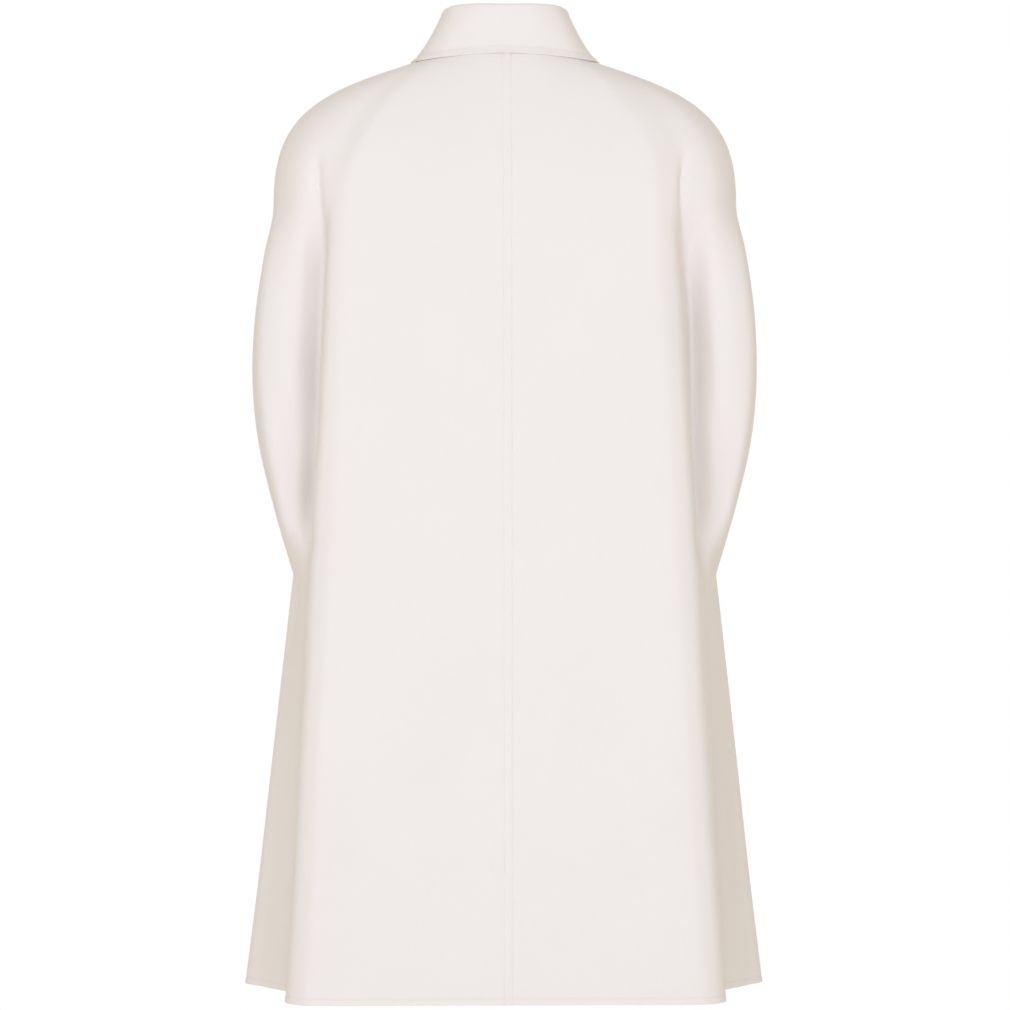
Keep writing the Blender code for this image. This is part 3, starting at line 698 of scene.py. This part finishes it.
class Finish:
    """One material: its Principled shader, with the nodes that feed it."""

    def __init__(self, name, **fixed):
        self.material = bpy.data.materials.new(name)
        self.material.use_nodes = True
        self.tree = self.material.node_tree
        self.shader = self.tree.nodes["Principled BSDF"]
        for key, value in fixed.items():
            self.shader.inputs[key.replace("_", " ")].default_value = value

    def node(self, kind, settings, inputs):
        made = self.tree.nodes.new(kind)
        for key, value in settings.items():
            setattr(made, key, value)
        for key, value in inputs.items():
            self.feed(made, key, value)
        return made

    def feed(self, node, key, value):
        if isinstance(value, Value):
            value = value.socket
        if isinstance(value, bpy.types.NodeSocket):
            self.tree.links.new(value, node.inputs[key])
        else:
            node.inputs[key].default_value = value

    def place(self, stretch=(1, 1, 1)):
        """Object coordinates, stretched."""
        where = self.node("ShaderNodeTexCoord", {}, {}).outputs["Object"]
        return self.node("ShaderNodeMapping", {}, {"Vector": where, "Scale": stretch}).outputs[0]

    def noise(self, scale, detail, roughness=0.5, stretch=(1, 1, 1)):
        """Noise from -1 to 1."""
        inputs = {"Vector": self.place(stretch), "Scale": scale, "Detail": detail, "Roughness": roughness}
        made = self.node("ShaderNodeTexNoise", {}, inputs)
        return Value(self, made.outputs[0]) * 2 - 1

    def attribute(self, name):
        made = self.node("ShaderNodeAttribute", {"attribute_name": name}, {})
        return Value(self, made.outputs["Fac"])

    def mix(self, factor, first, second):
        settings = {"data_type": "RGBA", "clamp_factor": True}
        made = self.node("ShaderNodeMix", settings, {0: factor, 6: (*first, 1), 7: (*second, 1)})
        return made.outputs[2]

    def bump(self, height, strength, distance):
        inputs = {"Height": height, "Strength": strength, "Distance": distance}
        made = self.node("ShaderNodeBump", {}, inputs)
        self.feed(self.shader, "Normal", made.outputs[0])


def wool(name, light, deep):
    """Felted double-faced wool: a cloudy ivory, darkened as painted shade along its stitch grooves, a short
    nap brushed downwards and a soft bloom.
    """
    finish = Finish(
        name,
        Roughness=0.9,
        Sheen_Weight=0.18,
        Sheen_Roughness=0.55,
        Sheen_Tint=(1.0, 0.965, 0.92, 1),
        Specular_IOR_Level=0.25,
    )
    cloud = finish.noise(11, 3)
    fleck = finish.noise(420, 4, 0.65, (1, 1, 0.55))
    nap = finish.noise(1500, 3, 0.6, (1, 1, 0.35))
    groove_shade = finish.attribute("groove_shade")
    # The mask of painted shade along the stitch grooves pulls the colour towards the deep tone.
    tone = cloud * 0.18 + fleck * 0.12 + groove_shade * 0.3 + 0.3
    finish.feed(finish.shader, "Base Color", finish.mix(tone, light, deep))
    finish.feed(finish.shader, "Roughness", fleck * 0.05 + 0.88)
    finish.bump(nap * 0.6 + fleck * 0.4, 0.16, 0.0004)
    return finish.material


def horn():
    finish = Finish("ivory_horn", Coat_Weight=0.25, Coat_Roughness=0.12)
    streak = finish.noise(160, 5, 0.6, (1, 1, 0.12))
    cloud = finish.noise(60, 3)
    tone = streak * 0.45 + cloud * 0.3 + 0.45
    finish.feed(finish.shader, "Base Color", finish.mix(tone, (0.80, 0.745, 0.66), (0.66, 0.585, 0.48)))
    finish.feed(finish.shader, "Roughness", cloud * 0.08 + 0.36)
    finish.bump(streak, 0.12, 0.0001)
    return finish.material


def silk_thread():
    finish = Finish("ivory_thread", Roughness=0.55, Sheen_Weight=0.3, Sheen_Roughness=0.4)
    strand = finish.noise(2600, 2, 0.5, (0.3, 1, 1))
    colour = finish.mix(strand * 0.5 + 0.5, (0.82, 0.77, 0.69), (0.68, 0.62, 0.53))
    finish.feed(finish.shader, "Base Color", colour)
    finish.bump(strand, 0.4, 0.0002)
    return finish.material


def dress(piece, node, finish):
    """Puts a piece in the place of its solid, with its finish."""
    piece.data.materials.clear()
    piece.data.materials.append(finish)
    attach(piece, "root")
    if node:
        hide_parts(node)


def outer_area(piece):
    """Half of the shell's surface, in square metres, which is near enough its cut's area."""
    return sum(polygon.area for polygon in piece.data.polygons) / 2


def down_in_yoke(level):
    down = np.linspace(0, 1, 200)
    heights = cloth_lines(-1, True, down)[:, LAST_LINE - SEAM_LINE + 1, 2]
    return float(np.interp(-level, -heights, down))


def button_places():
    for number in range(BUTTON_COUNT):
        level = BUTTON_TOP - number * BUTTON_PITCH
        down = level_to_down(level) if level < YOKE_LEVEL else down_in_yoke(level)
        surface, normal = (found[0] for found in body_at(-1, LAST_LINE, down))
        turn = Vector(normal).to_track_quat("Z", "X").to_matrix().to_4x4()
        yield number + 1, Matrix.Translation(Vector(surface + BUTTON_STAND_OFF * normal) * MM) @ turn


def turned_button():
    """One horn button, lathed, dished, drilled with four holes, its axis on Z."""
    rim = BUTTON_RADIUS
    bpy.ops.mesh.primitive_cylinder_add(vertices=72, radius=rim * MM, depth=BUTTON_DEPTH * MM,
                                        location=(0, 0, BUTTON_DEPTH / 2 * MM))
    button = bpy.context.active_object
    bpy.ops.object.mode_set(mode="EDIT")
    bpy.ops.mesh.select_mode(type="FACE")
    bpy.ops.mesh.select_all(action="DESELECT")
    bm = bmesh.from_edit_mesh(button.data)
    for face in bm.faces:
        face.select_set(face.normal.z > 0.9)
    bmesh.update_edit_mesh(button.data)
    for inset, drop in ((1.5, 0.0), (1.3, -0.7), (1.2, -0.75), (3.2, -0.15)):
        bpy.ops.mesh.inset(thickness=inset * MM)
        bpy.ops.transform.translate(value=(0, 0, drop * MM))
    bpy.ops.object.mode_set(mode="OBJECT")
    bpy.ops.object.transform_apply(location=True, rotation=True, scale=True)
    rounding = button.modifiers.new("turned_rim", "BEVEL")
    rounding.width = 0.7 * MM
    rounding.segments = 4
    rounding.limit_method = "ANGLE"
    rounding.angle_limit = radians(35)
    bpy.ops.object.modifier_apply(modifier=rounding.name)
    for x in (-1, 1):
        for y in (-1, 1):
            bpy.ops.mesh.primitive_cylinder_add(vertices=20, radius=0.95 * MM, depth=20 * MM,
                                                location=(x * 1.9 * MM, y * 1.9 * MM, 0))
            drill = bpy.context.active_object
            bpy.ops.object.select_all(action="DESELECT")
            bpy.context.view_layer.objects.active = button
            hole = button.modifiers.new("hole", "BOOLEAN")
            hole.operation = "DIFFERENCE"
            hole.object = drill
            hole.solver = "EXACT"
            bpy.ops.object.modifier_apply(modifier=hole.name)
            bpy.data.objects.remove(drill, do_unlink=True)
    return button


def placed_copy(source, name, matrix):
    mesh = source.data.copy()
    mesh.name = name
    mesh.transform(matrix)
    made = bpy.data.objects.new(name, mesh)
    bpy.context.collection.objects.link(made)
    bpy.ops.object.select_all(action="DESELECT")
    made.select_set(True)
    bpy.context.view_layer.objects.active = made
    bpy.ops.object.shade_smooth_by_angle(angle=radians(35))
    made.select_set(False)
    return made


def tubes(name, paths, radius):
    """Closed round tubes, one along each path of points in millimetres, in one mesh."""
    curve = bpy.data.curves.new(name, "CURVE")
    curve.dimensions = "3D"
    curve.bevel_depth = radius * MM
    curve.bevel_resolution = 2
    curve.use_fill_caps = True
    for path in paths:
        spline = curve.splines.new("POLY")
        spline.points.add(len(path) - 1)
        for point, place in zip(spline.points, path):
            point.co = (*[value * MM for value in place], 1)
    made = bpy.data.objects.new(name, curve)
    bpy.context.collection.objects.link(made)
    bpy.ops.object.select_all(action="DESELECT")
    made.select_set(True)
    bpy.context.view_layer.objects.active = made
    bpy.ops.object.convert(target="MESH")
    return bpy.context.active_object


def button_threads():
    """Three turns of thread over each pair of holes, and the shank behind the button."""
    over = []
    top = BUTTON_DEPTH - 1.6
    for y in (-1.9, 1.9):
        for shift in (-0.42, 0.0, 0.42):
            xs = np.linspace(-1.9, 1.9, 9)
            path = [(x, y + shift, top + 0.15 + 0.5 * (1 - (x / 1.9) ** 2)) for x in xs]
            over.append([(-1.9, y + shift, 0.6)] + path + [(1.9, y + shift, 0.6)])
    shank = [(1.1 * cos(a), 1.1 * sin(a), -0.75 + 0.2 * a / pi) for a in np.linspace(0, 7 * pi, 70)]
    return tubes("threads", over + [shank], 0.25)


def hole_stitches():
    """Close stitches round a buttonhole that lies across the front, with a bar at its inner end."""
    start, end = -HOLE_START, HOLE_LENGTH - HOLE_START
    paths = []
    for along in np.arange(start, end, HOLE_STITCH):
        for way in (-1, 1):
            slant = 0.12 * sin(9.7 * along) * way
            arch = ((0.32, -0.45), (0.5, -0.12), (1.2, -0.02), (2.0, -0.12), (2.5, -0.5))
            paths.append([(way * out, along + slant * out, up) for out, up in arch])
    for turn in np.linspace(-pi / 2, pi / 2, 7):
        arch = ((0.3, -0.45), (0.9, -0.1), (1.8, -0.12), (2.4, -0.5))
        paths.append([(out * sin(turn), start - out * cos(turn), up) for out, up in arch])
    for step in (0.0, 0.5, 1.0):
        paths.append([(x, end + step, -0.05 - 0.05 * x * x) for x in np.linspace(-2.3, 2.3, 7)])
    return tubes("stitches", paths, 0.24)


def hole_shade():
    """Painted shadow in the cut of the buttonhole: a narrow dark strip sunk between its stitches."""
    bpy.ops.mesh.primitive_cube_add(size=1)
    strip = bpy.context.active_object
    strip.scale = (0.5 * MM, (HOLE_LENGTH - 1) * MM, 0.2 * MM)
    strip.location = (0, (HOLE_LENGTH / 2 - HOLE_START) * MM, -(BUTTON_STAND_OFF + 0.02) * MM)
    bpy.ops.object.transform_apply(location=True, rotation=True, scale=True)
    return strip


def place_buttons(horn_finish, thread_finish, slit_shade_finish):
    button, threads, stitches, shade = turned_button(), button_threads(), hole_stitches(), hole_shade()
    for number, matrix in button_places():
        piece = placed_copy(button, f"turned_button_{number}", matrix)
        dress(piece, f"button_{number}", horn_finish)
        sewn = placed_copy(threads, f"button_thread_{number}", matrix)
        dress(sewn, None, thread_finish)
        edge = placed_copy(stitches, f"buttonhole_stitches_{number}", matrix)
        dress(edge, None, thread_finish)
        # A dark strip in each buttonhole's slit: painted shadow.
        cut = placed_copy(shade, f"buttonhole_slit_shade_{number}", matrix)
        dress(cut, None, slit_shade_finish)
    for spent in (button, threads, stitches, shade):
        bpy.data.objects.remove(spent, do_unlink=True)


def soft_light(location, size, energy, colour, aim=(0, 0, -0.45)):
    """A rectangular light, turned towards the coat."""
    bpy.ops.object.light_add(type="AREA", location=location)
    light = bpy.context.active_object
    light.data.shape = "RECTANGLE"
    light.data.size, light.data.size_y = size
    light.data.energy = energy
    light.data.color = colour
    light.rotation_euler = (Vector(aim) - light.location).to_track_quat("-Z", "Y").to_euler()


def camera_and_light():
    aim = Vector((0.0, 0.0, CAMERA_HEIGHT))
    turn = radians(CAMERA_TURN)
    place = (CAMERA_DISTANCE * sin(turn), CAMERA_DISTANCE * cos(turn), CAMERA_HEIGHT)
    bpy.ops.object.camera_add(location=place)
    camera = bpy.context.active_object
    camera.rotation_euler = (aim - camera.location).to_track_quat("-Z", "Y").to_euler()
    camera.data.lens = 135.07
    camera.data.sensor_width = 36
    bpy.context.scene.camera = camera

    soft_light((0.25, 4.2, -0.6), (3.4, 2.6), 102, (0.682, 0.768, 1.0))
    soft_light((3.0, -2.2, 1.0), (3.0, 2.4), 8, (1.0, 0.97, 0.98))
    soft_light((-0.9, -4.1, 0.5), (3.0, 2.4), 62, (0.86, 0.91, 1.0))
    soft_light((0, 0.8, 2.2), (2.5, 2.0), 9, (0.3, 0.55, 1.0), aim=(0, 0, -0.2))

    world = bpy.data.worlds.new("studio")
    bpy.context.scene.world = world
    world.use_nodes = True
    nodes, links = world.node_tree.nodes, world.node_tree.links
    room = nodes["Background"]
    room.inputs["Color"].default_value = (1.0, 0.9, 0.74, 1)
    room.inputs["Strength"].default_value = 0.66
    paper = nodes.new("ShaderNodeBackground")
    paper.inputs["Color"].default_value = (1, 1, 1, 1)
    paper.inputs["Strength"].default_value = 1.0
    seen = nodes.new("ShaderNodeLightPath")
    choose = nodes.new("ShaderNodeMixShader")
    links.new(seen.outputs["Is Camera Ray"], choose.inputs[0])
    links.new(room.outputs[0], choose.inputs[1])
    links.new(paper.outputs[0], choose.inputs[2])
    links.new(choose.outputs[0], nodes["World Output"].inputs["Surface"])
    bpy.context.scene.view_settings.view_transform = "Standard"

    bpy.ops.mesh.primitive_circle_add(vertices=128, radius=3.1, fill_type="NGON", location=(0, 0, -1.42))
    floor = bpy.context.active_object
    floor.name = "floor"
    bpy.ops.object.transform_apply(location=True, rotation=True, scale=True)
    plaster = Finish("floor_plaster", Roughness=0.8)
    cloud = plaster.noise(1.5, 3)
    colour = plaster.mix(cloud * 0.5 + 0.5, (0.86, 0.855, 0.85), (0.82, 0.815, 0.81))
    plaster.feed(plaster.shader, "Base Color", colour)
    floor.data.materials.append(plaster.material)


camera_and_light()

ivory = wool("ivory_wool", (0.88, 0.838, 0.795), (0.81, 0.758, 0.70))
# The collar stand's wool is a little darker than the rest: painted shade, for the stand lies under the
# fall.
ivory_band_shaded = wool("ivory_wool_band_painted_shade", (0.85, 0.81, 0.77), (0.77, 0.72, 0.665))
# A dark brown wool for the buttonholes' slits: painted shadow in the slit.
ivory_slit_shade = wool("ivory_wool_slit_shade", (0.42, 0.38, 0.33), (0.3, 0.27, 0.23))

left_offsets = (LAP_HALF - 0.3, 4.3, 5.0, 5.8, 7, 9, 12, 15)
right_offsets = (-LAP_HALF, -3.4, -2.6, -1.4, 0, 1.4, 2.6, 3.3, 3.8, 4.2, 4.6, 5.0, 5.5, 6.4, 8, 11, 14)
left_front_offsets = (44, 36, 30, 26, 22, 16, 8, 0, -8, -14, -17, -19, -20.5, -OVERLAP_HALF)
right_front_offsets = (16, 8, 0, -8, -12, -14, -15, -15.5, -16, -16.5, -17.2, -18.3, -20, -OVERLAP_HALF)

left_back = back_piece("left_back", 1, left_offsets, left_lap, BACK_CREASES[1])
right_back = back_piece("right_back", -1, right_offsets, right_lap, BACK_CREASES[-1])
left_front = front_piece("left_front", 1, left_front_offsets, CLOTH + GAP + 0.2, FRONT_CREASES[1])
right_front = front_piece("right_front", -1, right_front_offsets, 0.0, FRONT_CREASES[-1])
band = stand_piece()
leaf = fall_piece()

dress(left_back, "back_left", ivory)
dress(right_back, "back_right", ivory)
dress(left_front, "front_left", ivory)
dress(right_front, "front_right", ivory)
dress(band, "collar_stand", ivory_band_shaded)
dress(leaf, "collar_fall", ivory)
place_buttons(horn(), silk_thread(), ivory_slit_shade)

outer_area(left_back)
outer_area(right_back)
outer_area(left_front)
outer_area(right_front)
outer_area(band)
outer_area(leaf)
